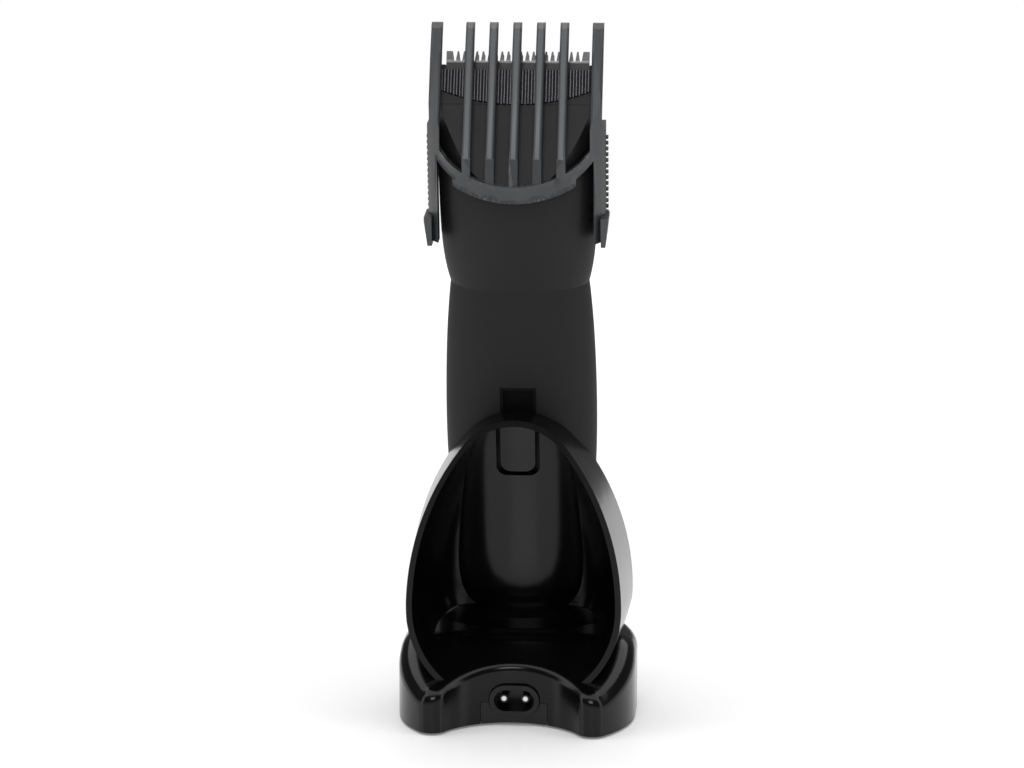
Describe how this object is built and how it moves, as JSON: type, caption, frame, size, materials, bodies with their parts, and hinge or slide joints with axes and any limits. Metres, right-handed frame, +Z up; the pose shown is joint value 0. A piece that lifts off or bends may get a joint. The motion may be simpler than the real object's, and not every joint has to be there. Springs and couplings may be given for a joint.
{
  "type": "hair clipper with charging stand",
  "caption": "Cordless hair clipper with a sliding guide comb, standing in a glossy scooped charging stand with a mains inlet in its base.",
  "frame": {"origin": "on the table under the middle of the base's round end", "axes": "+Z up, -Y towards the side with the mains inlet, +X completes a right-handed frame"},
  "size_m": [0.0736, 0.0733, 0.2154],
  "materials": {
    "body_shell": "soft-touch dark grey",
    "recess_lining": "dark, fine texture",
    "head_shell": "satin dark grey",
    "slider_plastic": "satin grey",
    "comb_plastic": "smoky translucent look, glossy",
    "stand_gloss": "piano black",
    "inlet_plastic": "black, smooth",
    "plate_plastic": "black",
    "foot_rubber": "matt black",
    "seal_rubber": "matt black",
    "blade_steel": "ground steel",
    "guard_steel": "satin steel",
    "unit_plastic": "satin dark grey",
    "steel_screw": "plated steel",
    "spring_steel": "bright wire",
    "gold_contact": "gilt contact",
    "nickel_strip": "nickel plated",
    "inner_frame": "moulded",
    "cell_wrap": "shrink wrap",
    "circuit_board": "solder mask",
    "switch_block": "moulded black",
    "light_pipe": "clear",
    "motor_steel": "zinc plated",
    "magnet": "ferrite",
    "motor_cap": "white nylon",
    "rotor_iron": "laminations and windings",
    "shaft_steel": "ground steel",
    "crank_plastic": "white acetal",
    "core_iron": "ferrite core with tape",
    "can_sleeve": "sleeved can"
  },
  "bodies": {
    "stand": {"stand_housing": "stand_gloss", "contact_block": "switch_block", "inlet_socket": "inlet_plastic", "inlet_pins": "nickel_strip", "bottom_plate": "plate_plastic", "power_board": "circuit_board", "transformer": "core_iron", "capacitor": "can_sleeve", "rubber_feet": "foot_rubber", "plate_screws": "steel_screw"},
    "clipper": {"rear_shell": "body_shell", "front_shell": "body_shell", "recess_tray": "recess_lining", "tail_cap": "body_shell", "charge_contacts": "gold_contact", "shell_screws": "steel_screw", "chassis": "inner_frame", "battery_left": "cell_wrap", "battery_right": "cell_wrap", "battery_link": "nickel_strip", "main_board": "circuit_board", "board_switch": "switch_block", "status_light": "light_pipe", "motor_can": "motor_steel", "motor_magnets": "magnet", "motor_end_cap": "motor_cap", "head_housing": "head_shell", "head_seal": "seal_rubber"},
    "motor_drive": {"motor_rotor": "rotor_iron", "motor_shaft": "shaft_steel", "eccentric": "crank_plastic"},
    "power_slider": {"power_slider": "slider_plastic"},
    "cutting_unit": {"blade_base": "unit_plastic", "fixed_blade": "blade_steel", "blade_guard": "guard_steel", "blade_screws": "steel_screw", "blade_springs": "spring_steel"},
    "moving_blade": {"moving_blade": "blade_steel", "drive_yoke": "crank_plastic"},
    "comb": {"comb": "comb_plastic"},
    "latch_tongue": {"latch_tongue": "stand_gloss"},
    "charge_pin_left": {"charge_pin_left": "gold_contact"},
    "charge_pin_right": {"charge_pin_right": "gold_contact"}
  },
  "joints": [
    {"name": "clipper_lift", "type": "slide", "parent": "stand", "child": "clipper", "axis": [0, -0.1616, 0.9869], "range_m": [0, 0.08]},
    {"name": "comb_slide", "type": "slide", "parent": "clipper", "child": "comb", "axis": [0, -0.1616, 0.9869], "range_m": [0, 0.06]},
    {"name": "unit_lift", "type": "slide", "parent": "clipper", "child": "cutting_unit", "axis": [0, 0.3535, 0.9354], "range_m": [0, 0.014]},
    {"name": "blade_stroke", "type": "slide", "parent": "cutting_unit", "child": "moving_blade", "axis": [1, 0, 0], "range_m": [-0.0012, 0.0012]},
    {"name": "motor_spin", "type": "hinge", "parent": "clipper", "child": "motor_drive", "pos_m": [0, 0.0072, 0.15336], "axis": [0, -0.1616, 0.9869], "range_deg": [-90, 90]},
    {"name": "slider_slide", "type": "slide", "parent": "clipper", "child": "power_slider", "axis": [0, -0.1616, 0.9869], "range_m": [0, 0.005]},
    {"name": "tongue_flex", "type": "hinge", "parent": "stand", "child": "latch_tongue", "pos_m": [0, 0.00088, 0.09233], "axis": [-1, 0, 0], "range_deg": [0, 4], "stiffness_Nm_per_rad": 0.4},
    {"name": "pin_left_press", "type": "slide", "parent": "stand", "child": "charge_pin_left", "axis": [0, 0.1616, -0.9869], "range_m": [0, 0.0015], "stiffness_N_per_m": 150, "springref_m": -0.001},
    {"name": "pin_right_press", "type": "slide", "parent": "stand", "child": "charge_pin_right", "axis": [0, 0.1616, -0.9869], "range_m": [0, 0.0015], "stiffness_N_per_m": 150, "springref_m": -0.001}
  ],
  "couplings": [
    {"joint": "motor_spin", "follows": "blade_stroke", "rad_per_m": -1309}
  ]
}
